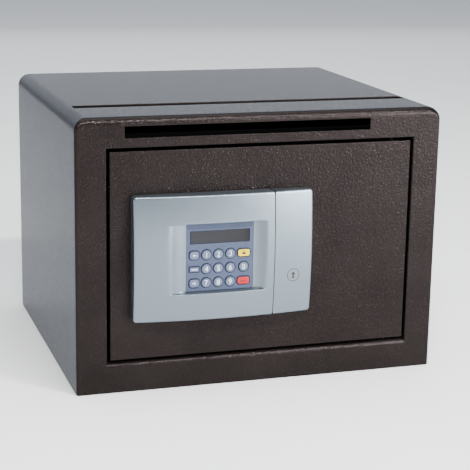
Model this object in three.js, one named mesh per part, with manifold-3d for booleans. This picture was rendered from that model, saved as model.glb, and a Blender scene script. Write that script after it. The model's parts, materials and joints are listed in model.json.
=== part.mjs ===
// Front-slot deposit safe: a folded steel cabinet with a letter slot in its header, a hinged
// door, and an electronic keypad lock on the door that drives two round bolts.
// Millimetres, +Z up. X is the width, the front faces -Y, and the cabinet stands on z = 0.
import * as THREE from 'three';
import { mergeVertices } from 'three/addons/utils/BufferGeometryUtils.js';
import Module from 'manifold-3d';

const wasm = await Module();
wasm.setup();

// ---- Driving dimensions -------------------------------------------------------------------
const joinGap = 0.3;            // air between pieces that touch or are welded together
const sheet = 2;                // cabinet steel
const bodyWidth = 350;
const bodyHeight = 255;
const bodyDepth = 300;
const topCornerRadius = 12;     // long upper edges of the cabinet

const latchStile = 28.5;        // front face left of the door
const hingeStile = 27;          // front face right of the door
const bottomRail = 28.3;
const header = 27.8;
const doorGap = 2.8;
const lipDepth = 15;            // rearward return around the door opening

const slotWidth = 233.6;        // letter slot in the header
const slotHeight = 10.5;
const slotFromLeft = 45;        // cabinet side to the near end of the slot
const slotFromTop = 8.3;
const stripDepth = 59;          // front part of the top
const topSlitWidth = 14;        // slit across the top behind it

const doorThickness = 4;
const hingeInset = 17;          // door edge to the hinge axis
const pinRadius = 2.5;
const pinClearance = 0.3;
const knuckleWall = 1.5;
const knuckleHalfWidth = 6;
const knuckleHeight = 16;
const bracketThickness = 6;

const panSideGap = 4.7;         // latch edge of the door to the pan on its back
const panEndGap = 4;            // top and bottom edges of the door to the pan
const panDepth = 26;
const panWall = 2;
const coverThickness = 2;
const tab = 13;                 // corner tabs of the pan that take the cover screws

const casingFromLatch = 19.1;   // latch edge of the door to the lock casing
const casingDrop = 1.3;         // casing centre below the door centre
const casingWidth = 169.5;
const casingHeight = 116.5;
const casingCorner = 9.5;       // how far its four corners stand off the door
const crownAcross = 6;          // extra height at mid width
const crownUp = 3.2;            // extra height at mid height
const casingWall = 2.4;
const seamGap = 0.4;            // between the casing and its pull-off cover
const pullCoverWidth = 37.8;
const basePlate = 2;

const plateFromCasing = 48.6;   // casing side to the keypad plate
const plateBelowCentre = 0.1;
const plateStand = 11.2;        // front of the keypad plate off the door
const plateThickness = 2;
const scoopLeft = 17.5;         // run of the hollowed ramps beside the keypad
const scoopRight = 11.4;

const keyDiameter = 9.6;
const keyGap = 0.4;
const keyWeb = 1;               // plate left between two round keys
const rowWeb = 2.7;
const keyStand = 0.8;           // keys above the plate
const keyLength = 6.6;
const keyTravel = 1;
const functionKeyWidth = 9.8;
const functionKeyHeight = 8.4;
const barKeyHeight = 5.2;
const colourKeyWidth = 12.2;
const colourKeyHeight = 7.6;
const plateMargin = 2.7;        // plate edge to the nearest key
const lowKeyMargin = 3.2;
const displayWidth = 56;
const displayHeight = 11.5;
const displayAboveKeys = 5.8;
const displayMargin = 7.3;      // display to the top of the plate

const boardThickness = 1.6;
const boardStand = 2.5;

const boltRadius = 5;
const boltSpacing = 70;
const boltTravel = 14;
const boltClearance = 0.4;
const barThickness = 3.5;
const barWidth = 14;
const barDepth = 21;            // front of the bolt bar behind the cabinet face
const armHeight = 12;
const postRadius = 2.5;
const postClearance = 0.3;
const gearModule = 1;
const pinionTeeth = 12;
const toothBacklash = 0.3;
const shaftRadius = 1.5;

const lockRadius = 9;           // emergency lock cylinder
const plugRadius = 4.7;
const plugClearance = 0.3;
const camReach = 14;

const batteryRadius = 7.25;
const batteryLength = 50.5;
const batteryCount = 4;
const batteryPitch = 15.3;
const boxWall = 1.6;

const anchorRadius = 6;
const anchorSpacing = 200;
const matThickness = 3;
const roundSteps = 24;
const cornerSteps = 6;

// ---- Places worked out from them ----------------------------------------------------------
const halfWidth = bodyWidth / 2;
const insideHalf = halfWidth - sheet;

const opening = {
  x0: -halfWidth + latchStile, x1: halfWidth - hingeStile,
  z0: bottomRail, z1: bodyHeight - header,
};
const door = {
  x0: opening.x0 + doorGap, x1: opening.x1 - doorGap,
  z0: opening.z0 + doorGap, z1: opening.z1 - doorGap,
};
const doorBack = doorThickness + joinGap;
const doorCentreZ = (door.z0 + door.z1) / 2;
const hingeX = door.x1 - hingeInset;
const hingeDepth = doorBack + knuckleWall + pinRadius + pinClearance;
const lipBack = sheet + lipDepth;

const pan = {
  x0: door.x0 + panSideGap, x1: hingeX - knuckleHalfWidth - 1.2,
  z0: door.z0 + panEndGap, z1: door.z1 - panEndGap,
};
const panBack = doorBack + panDepth - joinGap;
const coverDepth = panBack + joinGap;
const coverBack = coverDepth + coverThickness;

const casing = {
  x0: door.x0 + casingFromLatch, x1: door.x0 + casingFromLatch + casingWidth,
  z0: doorCentreZ - casingDrop - casingHeight / 2, z1: doorCentreZ - casingDrop + casingHeight / 2,
};
const casingX = (casing.x0 + casing.x1) / 2;
const casingZ = (casing.z0 + casing.z1) / 2;
const pullCoverLeft = casing.x1 - pullCoverWidth;
const casingRight = pullCoverLeft - seamGap;

const keyPitch = keyDiameter + 2 * keyGap + keyWeb;
const rowPitch = keyDiameter + 2 * keyGap + rowWeb;
const plateLeft = casing.x0 + plateFromCasing;
const columns = [plateLeft + plateMargin + functionKeyWidth / 2];
for (let column = 1; column <= 3; column += 1) columns.push(columns[column - 1] + keyPitch);
columns.push(columns[3] + keyDiameter / 2 + 2 * keyGap + keyWeb + colourKeyWidth / 2);
const plateRight = columns[4] + colourKeyWidth / 2 + plateMargin + keyGap;
const plateHeight = lowKeyMargin + keyDiameter + 2 * rowPitch + displayAboveKeys
  + displayHeight + displayMargin;
const plateBottom = casingZ - plateBelowCentre - plateHeight / 2;
const plateTop = plateBottom + plateHeight;
const rows = [2, 1, 0].map((row) => plateBottom + lowKeyMargin + keyDiameter / 2 + row * rowPitch);
const displayZ = rows[0] + keyDiameter / 2 + displayAboveKeys + displayHeight / 2;
const displayX = (plateLeft + plateRight) / 2;
const seatFront = plateStand - plateThickness - joinGap;
const seatThickness = 2;
const seatWidth = 1.5;

// Height of the casing's doubly crowned face off the door.
function crownHeight(x, z) {
  const across = (x - casingX) / (casingWidth / 2);
  const up = (z - casingZ) / (casingHeight / 2);
  return casingCorner + crownAcross * (1 - across ** 2) + crownUp * (1 - up ** 2);
}

// The casing is thickest at mid width, just above the hollow for the keypad. The origin is
// the middle of the footprint from there to the back.
const frontY = (crownHeight(casingX, plateTop) - bodyDepth) / 2;

const boltDepth = barDepth + barThickness / 2;
const boltZ = [doorCentreZ - boltSpacing / 2, doorCentreZ + boltSpacing / 2];
const boltEnd = pan.x0 + 1.5;
const barX0 = pan.x0 + 23;
const barX1 = barX0 + barWidth;
const armZ = doorCentreZ;
const pinionX = pan.x0 + 89;
const pitchRadius = (gearModule * pinionTeeth) / 2;
const rackTop = armZ - armHeight / 2 + 2.25 * gearModule;
const rackPitchZ = rackTop - 1.25 * gearModule;
const pinionZ = rackPitchZ - pitchRadius;
const slotRoom = boltTravel + postRadius + postClearance;
const postX = [barX1 + 8, pinionX + 20];
const armEnd = postX[1] + slotRoom + 5;
const postBase = 4.5;

const lockX = (pullCoverLeft + casing.x1) / 2;
const lockZ = casingZ;
const lockBack = 24;

const boxX1 = pan.x1 - panWall - 3;
const boxX0 = boxX1 - batteryCount * batteryPitch - 2 * boxWall - 0.6;
const boxZ0 = pan.z0 + tab + 1;
const boxZ1 = boxZ0 + batteryLength + 5 + 2 * boxWall;
const boxBack = panBack - joinGap;
const batteryDepth = boxBack - 1.6 - batteryRadius;

// ---- Materials ----------------------------------------------------------------------------
function finish(colour, roughness, metalness) {
  return new THREE.MeshStandardMaterial({ color: colour, roughness, metalness });
}
const paint = finish(0x3b3331, 0.45, 0.2);
const silver = finish(0xb4bbc0, 0.4, 0.5);
const plateBlue = finish(0x7c87a0, 0.5, 0.1);
const steel = finish(0x9aa0a4, 0.35, 0.9);
const zinc = finish(0xb9bcb4, 0.4, 0.8);
const brass = finish(0xc9a45a, 0.3, 0.9);
const darkGlass = finish(0x3f4346, 0.15, 0);
const board = finish(0x1f6b45, 0.5, 0.1);
const blackPlastic = finish(0x1c1d1f, 0.5, 0);
const mattBlack = finish(0x0a0a0b, 0.9, 0);
const yellow = finish(0xe0d23a, 0.4, 0);
const red = finish(0xd0484f, 0.4, 0);
const felt = finish(0x35383a, 0.95, 0);
const cellWrap = finish(0x2b6a8f, 0.4, 0.2);

// ---- Solids -------------------------------------------------------------------------------
// Depths are measured rearwards from the cabinet's front face; heights off the door are
// negative depths.
function solid(geometry) {
  const bare = geometry.clone();
  bare.deleteAttribute('normal');
  bare.deleteAttribute('uv');
  const merged = mergeVertices(bare, 1e-4);
  return new wasm.Manifold(new wasm.Mesh({
    numProp: 3,
    vertProperties: new Float32Array(merged.attributes.position.array),
    triVerts: new Uint32Array(merged.index.array),
  }));
}

function toGeometry(body) {
  const mesh = body.getMesh();
  const geometry = new THREE.BufferGeometry();
  geometry.setAttribute('position', new THREE.BufferAttribute(mesh.vertProperties, 3));
  geometry.setIndex(new THREE.BufferAttribute(mesh.triVerts, 1));
  return geometry;
}

function block([x0, x1], [d0, d1], [z0, z1]) {
  const geometry = new THREE.BoxGeometry(x1 - x0, d1 - d0, z1 - z0);
  geometry.translate((x0 + x1) / 2, frontY + (d0 + d1) / 2, (z0 + z1) / 2);
  return solid(geometry);
}

// An outline in X and Z, extruded from depth d0 to d1.
function slab(outline, [d0, d1]) {
  const geometry = new THREE.ExtrudeGeometry(outline, {
    depth: d1 - d0, bevelEnabled: false, curveSegments: cornerSteps / 2,
  });
  geometry.rotateX(Math.PI / 2);
  geometry.translate(0, frontY + d1, 0);
  return solid(geometry);
}

// A section in depth and Z, extruded along X.
function channel(points, [x0, x1]) {
  const outline = new THREE.Shape(points.map(([depth, z]) => new THREE.Vector2(frontY + depth, z)));
  const geometry = new THREE.ExtrudeGeometry(outline, { depth: x1 - x0, bevelEnabled: false });
  geometry.applyMatrix4(new THREE.Matrix4().makeBasis(
    new THREE.Vector3(0, 1, 0), new THREE.Vector3(0, 0, 1), new THREE.Vector3(1, 0, 0),
  ));
  geometry.translate(x0, 0, 0);
  return solid(geometry);
}

function rodX(radius, [x0, x1], depth, z) {
  const geometry = new THREE.CylinderGeometry(radius, radius, x1 - x0, roundSteps);
  geometry.rotateZ(-Math.PI / 2);
  geometry.translate((x0 + x1) / 2, frontY + depth, z);
  return solid(geometry);
}

function rodY(radius, x, [d0, d1], z) {
  const geometry = new THREE.CylinderGeometry(radius, radius, d1 - d0, roundSteps);
  geometry.translate(x, frontY + (d0 + d1) / 2, z);
  return solid(geometry);
}

function rodZ(radius, x, depth, [z0, z1]) {
  const geometry = new THREE.CylinderGeometry(radius, radius, z1 - z0, roundSteps);
  geometry.rotateX(Math.PI / 2);
  geometry.translate(x, frontY + depth, (z0 + z1) / 2);
  return solid(geometry);
}

// A turned piece along Y: [radius, depth] points from its front end to its back end.
function turned(points, x, z) {
  const profile = [[0, points[0][1]], ...points, [0, points[points.length - 1][1]]];
  const geometry = new THREE.LatheGeometry(
    profile.map(([radius, depth]) => new THREE.Vector2(radius, depth)), roundSteps,
  );
  geometry.translate(x, frontY, z);
  return solid(geometry);
}

function roundedOutline(width, height, radius, x = 0, z = 0) {
  const reachX = width / 2 - radius;
  const reachZ = height / 2 - radius;
  const points = [];
  const corners = [[1, -1], [1, 1], [-1, 1], [-1, -1]];
  corners.forEach(([sideX, sideZ], corner) => {
    for (let step = 0; step <= cornerSteps; step += 1) {
      const angle = (Math.PI / 2) * (corner - 1 + step / cornerSteps);
      const point = new THREE.Vector2(
        x + sideX * reachX + radius * Math.cos(angle), z + sideZ * reachZ + radius * Math.sin(angle),
      );
      if (!points.some((other) => other.distanceTo(point) < 1e-6)) points.push(point);
    }
  });
  return new THREE.Shape(points);
}

const model = new THREE.Group();
model.name = 'deposit_safe';

function add(name, body, material) {
  const mesh = new THREE.Mesh(toGeometry(body), material);
  mesh.name = name;
  model.add(mesh);
}

// ---- Cabinet ------------------------------------------------------------------------------
// The cabinet's front outline: square at the bottom, rounded at the two upper corners.
function cabinetOutline(inset, bottom) {
  const half = halfWidth - inset;
  const top = bodyHeight - inset;
  const radius = topCornerRadius - inset;
  const shape = new THREE.Shape();
  shape.moveTo(-half, bottom);
  shape.lineTo(half, bottom);
  shape.lineTo(half, top - radius);
  shape.absarc(half - radius, top - radius, radius, 0, Math.PI / 2, false);
  shape.lineTo(-half + radius, top);
  shape.absarc(-half + radius, top - radius, radius, Math.PI / 2, Math.PI, false);
  return shape;
}

const stripHalf = halfWidth - topCornerRadius;
const slitBack = stripDepth + topSlitWidth;

function bodyWrap() {
  const depths = [sheet + joinGap, bodyDepth];
  const outer = slab(cabinetOutline(0, 0), depths);
  const inner = slab(cabinetOutline(sheet, -1), [0, bodyDepth + 1]);
  const topCut = block([-stripHalf, stripHalf], [0, slitBack], [bodyHeight - 2 * sheet, bodyHeight + 1]);
  return outer.subtract(inner).subtract(topCut);
}

function lip(x, z) {
  return block(x, [sheet / 2, lipBack], z);
}

function frontFrame() {
  const bracketSide = hingeX - 12 - joinGap;
  let frame = slab(cabinetOutline(0, 0), [0, sheet]);
  frame = frame.add(lip([opening.x0 - sheet, opening.x0], [opening.z0 - sheet, opening.z1 + sheet]));
  frame = frame.add(lip([opening.x1, opening.x1 + sheet], [opening.z0 - sheet, opening.z1 + sheet]));
  frame = frame.add(lip([opening.x0, bracketSide], [opening.z0 - sheet, opening.z0]));
  frame = frame.add(lip([opening.x0, bracketSide], [opening.z1, opening.z1 + sheet]));
  frame = frame.add(block(
    [-stripHalf + joinGap, stripHalf - joinGap], [sheet / 2, stripDepth],
    [bodyHeight - sheet, bodyHeight],
  ));
  const hole = block([opening.x0, opening.x1], [-1, lipBack + 1], [opening.z0, opening.z1]);
  const slotLeft = -halfWidth + slotFromLeft;
  const slotTop = bodyHeight - slotFromTop;
  const slot = block([slotLeft, slotLeft + slotWidth], [-1, sheet + 1], [slotTop - slotHeight, slotTop]);
  return frame.subtract(hole).subtract(slot);
}

function backPanel() {
  const inset = sheet + joinGap;
  let panel = slab(cabinetOutline(inset, 0), [bodyDepth - sheet, bodyDepth]);
  for (const side of [-1, 1]) {
    panel = panel.subtract(rodY(
      anchorRadius, (side * anchorSpacing) / 2, [bodyDepth - 2 * sheet, bodyDepth + 1], bodyHeight / 2,
    ));
  }
  return panel;
}

function floorPanel() {
  const half = insideHalf - joinGap;
  let panel = block([-half, half], [sheet + joinGap, bodyDepth - sheet - joinGap], [0, sheet]);
  for (const side of [-1, 1]) {
    const hole = rodZ(anchorRadius, (side * anchorSpacing) / 2, bodyDepth / 2, [-1, sheet + 1]);
    panel = panel.subtract(hole);
  }
  return panel;
}

function floorMat() {
  const half = insideHalf - 8;
  const level = [sheet + joinGap, sheet + joinGap + matThickness];
  let mat = block([-half, half], [lipBack + 3, bodyDepth - sheet - 8], level);
  for (const side of [-1, 1]) {
    const hole = rodZ(anchorRadius + 2, (side * anchorSpacing) / 2, bodyDepth / 2, [0, level[1] + 1]);
    mat = mat.subtract(hole);
  }
  return mat;
}

// The chute catches what is posted and sheds it to the rear of the cabinet.
function depositChute() {
  const level = opening.z1 + sheet;
  const section = [
    [lipBack + joinGap, level - 1.5], [62, level - 1.5], [140, level - 25], [148, level - 22],
    [148, level - 20.4], [140, level - 23.4], [62, level], [lipBack + joinGap, level],
  ];
  return channel(section, [-insideHalf + joinGap, insideHalf - joinGap]);
}

// A hanging plate behind the slit that stops anything being drawn back out.
function hangingBaffle() {
  const top = bodyHeight - sheet - joinGap;
  const front = slitBack + 4;
  const section = [
    [front, top - 1.5], [front + 12, top - 1.5], [front + 40, top - 26], [front + 41.3, top - 25.2],
    [front + 12.8, top], [front, top],
  ];
  return channel(section, [-stripHalf + 4, stripHalf - 4]);
}

const strikeThickness = 3;
const strikeX = [opening.x0 - sheet - joinGap - strikeThickness, opening.x0 - sheet - joinGap];
const strikeHole = 13;

function strikePlate() {
  const ends = [boltZ[0] - 22, boltZ[1] + 22];
  let plate = block(strikeX, [sheet + joinGap, boltDepth + boltRadius + 8], ends);
  for (const z of boltZ) {
    plate = plate.subtract(block(
      [strikeX[0] - 1, strikeX[1] + 1],
      [boltDepth - strikeHole / 2, boltDepth + strikeHole / 2],
      [z - strikeHole / 2, z + strikeHole / 2],
    ));
  }
  return plate;
}

function hingeBracket(z) {
  const plate = block([hingeX - 12, opening.x1 - joinGap], [sheet + joinGap, lipBack], z);
  return plate.subtract(rodZ(pinRadius + pinClearance, hingeX, hingeDepth, [z[0] - 1, z[1] + 1]));
}

function hingePin(z) {
  return rodZ(pinRadius, hingeX, hingeDepth, z);
}

function cabinetPieces() {
  add('front_frame', frontFrame(), paint);
  add('body_wrap', bodyWrap(), paint);
  add('back_panel', backPanel(), paint);
  add('floor_panel', floorPanel(), paint);
  add('deposit_chute', depositChute(), mattBlack);
  add('hanging_baffle', hangingBaffle(), mattBlack);
  add('strike_plate', strikePlate(), zinc);
  const lower = [opening.z0 - bracketThickness - joinGap, opening.z0 - joinGap];
  const upper = [opening.z1 + joinGap, opening.z1 + joinGap + bracketThickness];
  add('hinge_bracket_lower', hingeBracket(lower), paint);
  add('hinge_bracket_upper', hingeBracket(upper), paint);
  add('hinge_pin_lower', hingePin([lower[0], door.z0 + knuckleHeight - 2]), paint);
  add('hinge_pin_upper', hingePin([door.z1 - knuckleHeight + 2, upper[1]]), paint);
  add('floor_mat', floorMat(), felt);
}

// ---- Door ---------------------------------------------------------------------------------
const cableHole = { x: pinionX + 22, z: casingZ + 18, radius: 7 };

function doorPlate() {
  let plate = block([door.x0, door.x1], [0, doorThickness], [door.z0, door.z1]);
  plate = plate.subtract(rodY(lockRadius + 0.4, lockX, [-1, doorThickness + 1], lockZ));
  return plate.subtract(rodY(cableHole.radius, cableHole.x, [-1, doorThickness + 1], cableHole.z));
}

const screwInset = 7;
const screwRadius = 2;
const screwHoleRadius = 2.3;
const screwPlaces = [];
for (const x of [pan.x0 + screwInset, pan.x1 - screwInset]) {
  for (const z of [pan.z0 + screwInset, pan.z1 - screwInset]) screwPlaces.push([x, z]);
}

function doorPan() {
  const outer = block([pan.x0, pan.x1], [doorBack, panBack], [pan.z0, pan.z1]);
  const inner = block([pan.x0 + panWall, pan.x1 - panWall], [doorBack - 1, panBack + 1],
    [pan.z0 + panWall, pan.z1 - panWall]);
  let ring = outer.subtract(inner);
  for (const [x, z] of screwPlaces) {
    const left = x < lockX ? pan.x0 + 1 : pan.x1 - tab;
    const low = z < doorCentreZ ? pan.z0 + 1 : pan.z1 - tab;
    ring = ring.add(block([left, left + tab - 1], [panBack - panWall, panBack], [low, low + tab - 1]));
    ring = ring.subtract(rodY(screwHoleRadius, x, [panBack - 5, panBack + 1], z));
  }
  for (const z of boltZ) {
    ring = ring.subtract(rodX(boltRadius + boltClearance, [pan.x0 - 1, pan.x0 + panWall + 1], boltDepth, z));
  }
  return ring;
}

const hatch = { x0: boxX0 + boxWall, x1: boxX1 - boxWall, z0: boxZ0 + boxWall, z1: boxZ1 - boxWall };

function innerCover() {
  let cover = block([pan.x0, pan.x1], [coverDepth, coverBack], [pan.z0, pan.z1]);
  cover = cover.subtract(block([hatch.x0, hatch.x1], [coverDepth - 1, coverBack + 1], [hatch.z0, hatch.z1]));
  for (const [x, z] of screwPlaces) {
    cover = cover.subtract(rodY(screwHoleRadius, x, [coverDepth - 1, coverBack + 1], z));
  }
  return cover;
}

function coverScrew(x, z) {
  const seat = coverBack + joinGap;
  return turned([[screwRadius, panBack - 7], [screwRadius, seat], [4, seat], [3.4, seat + 2]], x, z);
}

function hingeKnuckle(z) {
  const size = hingeDepth + pinRadius + pinClearance + 3;
  const barrel = block([hingeX - knuckleHalfWidth, hingeX + knuckleHalfWidth], [doorBack, size], z);
  return barrel.subtract(rodZ(pinRadius + pinClearance, hingeX, hingeDepth, [z[0] - 1, z[1] + 1]));
}

function doorPieces() {
  add('door_plate', doorPlate(), paint);
  add('door_pan', doorPan(), paint);
  add('inner_cover', innerCover(), paint);
  add('hinge_knuckle_lower', hingeKnuckle([door.z0 + 0.4, door.z0 + knuckleHeight]), paint);
  add('hinge_knuckle_upper', hingeKnuckle([door.z1 - knuckleHeight, door.z1 - 0.4]), paint);
  screwPlaces.forEach(([x, z], index) => add(`cover_screw_${index + 1}`, coverScrew(x, z), steel));
}

// ---- Lock casing --------------------------------------------------------------------------
function crownedBlock([x0, x1], [z0, z1], rear, inset) {
  const stepsX = Math.ceil((x1 - x0) / 17);
  const stepsZ = Math.ceil((z1 - z0) / 17);
  const geometry = new THREE.BoxGeometry(x1 - x0, 2, z1 - z0, stepsX, 1, stepsZ);
  geometry.translate((x0 + x1) / 2, 0, (z0 + z1) / 2);
  const place = geometry.attributes.position;
  for (let i = 0; i < place.count; i += 1) {
    const front = crownHeight(place.getX(i), place.getZ(i)) - inset;
    place.setY(i, frontY - (place.getY(i) < 0 ? front : rear));
  }
  return solid(geometry);
}

// Plan of the hollow in front of the keypad: flat over the plate, with a ramp to each side
// that starts level and curves up to the crowned face.
function valleyPlan(floor, spread) {
  const rim = crownHeight(casingX, casingZ + plateHeight / 2) + 1;
  const arcs = (edge, run, sense) => {
    const rise = rim - floor;
    const radius = (run ** 2 + rise ** 2) / (2 * rise);
    const sweep = Math.asin(run / radius);
    const points = [];
    for (let step = 1; step <= 6; step += 1) {
      const angle = (sweep * step) / 6;
      points.push([edge + sense * radius * Math.sin(angle), floor + radius * (1 - Math.cos(angle))]);
    }
    return points;
  };
  const x0 = plateLeft - spread;
  const x1 = plateRight + spread;
  const left = arcs(x0, scoopLeft, -1);
  const right = arcs(x1, scoopRight, 1);
  const top = rim + 12;
  const points = [
    [x0, floor], ...left, [left[left.length - 1][0], top], [right[right.length - 1][0], top],
    ...right.reverse(), [x1, floor],
  ];
  return new THREE.Shape(points.map(([x, height]) => new THREE.Vector2(x, frontY - height)));
}

function valley(floor, spread, [z0, z1]) {
  const geometry = new THREE.ExtrudeGeometry(valleyPlan(floor, spread), {
    depth: z1 - z0, bevelEnabled: false,
  });
  geometry.translate(0, 0, z0);
  return solid(geometry);
}

function lockCasing() {
  const outer = crownedBlock([casing.x0, casingRight], [casing.z0, casing.z1], joinGap, 0);
  const under = valley(seatFront - seatThickness, casingWall, [plateBottom - casingWall, plateTop + casingWall]);
  const hollow = crownedBlock(
    [casing.x0 + casingWall, casingRight - casingWall],
    [casing.z0 + casingWall, casing.z1 - casingWall], -1, casingWall,
  ).subtract(under);
  const pocket = block([plateLeft, plateRight], [-plateStand - 1, -seatFront], [plateBottom, plateTop]);
  const window = block([plateLeft + seatWidth, plateRight - seatWidth], [-plateStand, 0],
    [plateBottom + seatWidth, plateTop - seatWidth]);
  const foot = block([casingRight - 1, casing.x1 - casingWall], [-joinGap - basePlate, -joinGap],
    [casing.z0 + casingWall, casing.z1 - casingWall])
    .subtract(rodY(lockRadius + 0.4, lockX, [-basePlate - 2, 1], lockZ));
  return outer.subtract(hollow).subtract(valley(plateStand, 0, [plateBottom, plateTop]))
    .subtract(pocket).subtract(window).add(foot);
}

function pullCover() {
  const wall = 2;
  const outer = crownedBlock([pullCoverLeft, casing.x1], [casing.z0, casing.z1], joinGap, 0);
  const hollow = crownedBlock([pullCoverLeft + wall, casing.x1 - wall],
    [casing.z0 + wall, casing.z1 - wall], -1, wall);
  const footRoom = block([pullCoverLeft - 1, pullCoverLeft + wall + 1], [-basePlate - 2 * joinGap, 1],
    [casing.z0 + wall, casing.z1 - wall]);
  return outer.subtract(hollow).subtract(footRoom);
}

// Keys: one column of function keys, three of digits, and one with the two coloured keys.
const functionKey = { width: functionKeyWidth, height: functionKeyHeight, radius: 3 };
const barKey = { width: functionKeyWidth - 0.2, height: barKeyHeight, radius: 0.5 };
const roundKey = { width: keyDiameter, height: keyDiameter, radius: keyDiameter / 2 };
const colourKey = { width: colourKeyWidth, height: colourKeyHeight, radius: 2.6 };
const keyNames = [
  ['key_function_top', 'key_1', 'key_2', 'key_3', 'key_yellow'],
  ['key_function_middle', 'key_4', 'key_5', 'key_6', 'key_0'],
  ['key_function_bottom', 'key_7', 'key_8', 'key_9', 'key_red'],
];

function keyForm(name) {
  if (name === 'key_function_middle') return barKey;
  if (name.startsWith('key_function')) return functionKey;
  return name === 'key_yellow' || name === 'key_red' ? colourKey : roundKey;
}

function keyOutline(form, x, z, grow) {
  return roundedOutline(form.width + 2 * grow, form.height + 2 * grow, form.radius + grow, x, z);
}

const keys = keyNames.flatMap((line, row) => line.map((name, column) => ({
  name, form: keyForm(name), x: columns[column], z: rows[row],
})));

function keypadPlate() {
  let plate = block([plateLeft + joinGap, plateRight - joinGap], [-plateStand, -plateStand + plateThickness],
    [plateBottom + joinGap, plateTop - joinGap]);
  for (const key of keys) {
    plate = plate.subtract(slab(keyOutline(key.form, key.x, key.z, keyGap), [-plateStand - 1, -5]));
  }
  return plate.subtract(slab(
    roundedOutline(displayWidth + 2 * joinGap, displayHeight + 2 * joinGap, 1, displayX, displayZ),
    [-plateStand - 1, -5],
  ));
}

function displayWindow() {
  return slab(roundedOutline(displayWidth, displayHeight, 0.8, displayX, displayZ),
    [-plateStand + 0.2, -plateStand + plateThickness]);
}

const boardBack = -boardStand;
const boardFront = boardBack - boardThickness;

function keypadBoard() {
  return block([plateLeft + 1, plateRight - 1], [boardFront, boardBack], [plateBottom + 1, plateTop - 1]);
}

function displayModule() {
  return block([displayX - displayWidth / 2 - 0.5, displayX + displayWidth / 2 + 0.5],
    [-plateStand + plateThickness + joinGap, boardFront - joinGap],
    [displayZ - displayHeight / 2 - 0.8, displayZ + displayHeight / 2 + 0.8]);
}

function keyMaterial(name) {
  if (name === 'key_yellow') return yellow;
  return name === 'key_red' ? red : plateBlue;
}

function casingPieces() {
  add('lock_casing', lockCasing(), silver);
  add('pull_off_cover', pullCover(), silver);
  add('keypad_plate', keypadPlate(), plateBlue);
  add('display_window', displayWindow(), darkGlass);
  add('display_module', displayModule(), blackPlastic);
  add('keypad_board', keypadBoard(), board);
  for (const key of keys) {
    const cap = slab(keyOutline(key.form, key.x, key.z, 0),
      [-plateStand - keyStand, -plateStand - keyStand + keyLength]);
    add(key.name, cap, keyMaterial(key.name));
  }
}

// ---- Bolt work ----------------------------------------------------------------------------
// Half of one involute tooth, from root to tip: [radius, half angle] pairs.
function toothFlank() {
  const pressure = Math.PI / 9;
  const baseRadius = pitchRadius * Math.cos(pressure);
  const tip = pitchRadius + 0.9 * gearModule;
  const involute = (radius) => {
    const t = Math.sqrt(Math.max(0, (radius / baseRadius) ** 2 - 1));
    return t - Math.atan(t);
  };
  const halfAtPitch = (Math.PI * gearModule - 2 * toothBacklash) / (4 * pitchRadius);
  const flank = [[pitchRadius - 1.2 * gearModule, halfAtPitch + involute(pitchRadius)]];
  for (let step = 0; step <= 4; step += 1) {
    const radius = baseRadius + ((tip - baseRadius) * step) / 4;
    flank.push([radius, halfAtPitch + involute(pitchRadius) - involute(radius)]);
  }
  return flank;
}

// One tooth of the pinion points straight up, into a space of the rack.
function motorPinion() {
  const shape = new THREE.Shape();
  const flank = toothFlank();
  const points = [];
  for (let tooth = 0; tooth < pinionTeeth; tooth += 1) {
    const middle = Math.PI / 2 + (2 * Math.PI * tooth) / pinionTeeth;
    for (const [radius, half] of flank) points.push([radius, middle - half]);
    for (const [radius, half] of [...flank].reverse()) points.push([radius, middle + half]);
  }
  shape.setFromPoints(points.map(([radius, angle]) => new THREE.Vector2(
    pinionX + radius * Math.cos(angle), pinionZ + radius * Math.sin(angle),
  )));
  const depths = [barDepth - 0.5, barDepth + barThickness + 0.5];
  return slab(shape, depths).subtract(
    rodY(shaftRadius + 0.3, pinionX, [depths[0] - 1, depths[1] + 1], pinionZ),
  );
}

function rackSpaces() {
  const pitch = Math.PI * gearModule;
  const spread = Math.tan(Math.PI / 9);
  const half = pitch / 4 + toothBacklash / 2;
  const low = armZ - armHeight / 2 - 1;
  const first = -2;
  const last = Math.ceil(boltTravel / pitch) + 2;
  const spaces = [];
  for (let tooth = first; tooth <= last; tooth += 1) {
    const x = pinionX + tooth * pitch;
    const shape = new THREE.Shape([
      [x - half + spread * (rackTop - rackPitchZ), rackTop], [x - half - spread * (rackPitchZ - low), low],
      [x + half + spread * (rackPitchZ - low), low], [x + half - spread * (rackTop - rackPitchZ), rackTop],
    ].map(([px, pz]) => new THREE.Vector2(px, pz)));
    spaces.push(slab(shape, [barDepth - 1, barDepth + barThickness + 1]));
  }
  return spaces;
}

function boltBar() {
  const depths = [barDepth, barDepth + barThickness];
  const reach = boltSpacing / 2 + boltRadius + 3;
  let bar = block([barX0, barX1], depths, [doorCentreZ - reach, doorCentreZ + reach]);
  bar = bar.add(block([barX1 - 1, armEnd], depths, [armZ - armHeight / 2, armZ + armHeight / 2]));
  for (const x of postX) {
    const height = 2 * (postRadius + postClearance);
    const centre = x + boltTravel / 2;
    const slot = roundedOutline(boltTravel + height, height, height / 2, centre, armZ + 1);
    bar = bar.subtract(slab(slot, [depths[0] - 1, depths[1] + 1]));
  }
  for (const space of rackSpaces()) bar = bar.subtract(space);
  return bar;
}

function guidePost(x) {
  const barBack = barDepth + barThickness;
  return turned([
    [postBase, doorBack], [postBase, barDepth - joinGap], [postRadius, barDepth - joinGap],
    [postRadius, barBack + joinGap], [postBase, barBack + joinGap], [postBase, barBack + 2],
  ], x, armZ + 1);
}

function gearMotor() {
  const back = barDepth - 1.2;
  const boxX = [pinionX - 12, pinionX + 12];
  let motor = block(boxX, [doorBack, back - 2], [pinionZ - 34, pinionZ + 11]);
  motor = motor.add(rodY(5, pinionX, [back - 3, back], pinionZ));
  return motor.add(rodY(shaftRadius, pinionX, [back - 1, barDepth + barThickness + 1], pinionZ));
}

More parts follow.
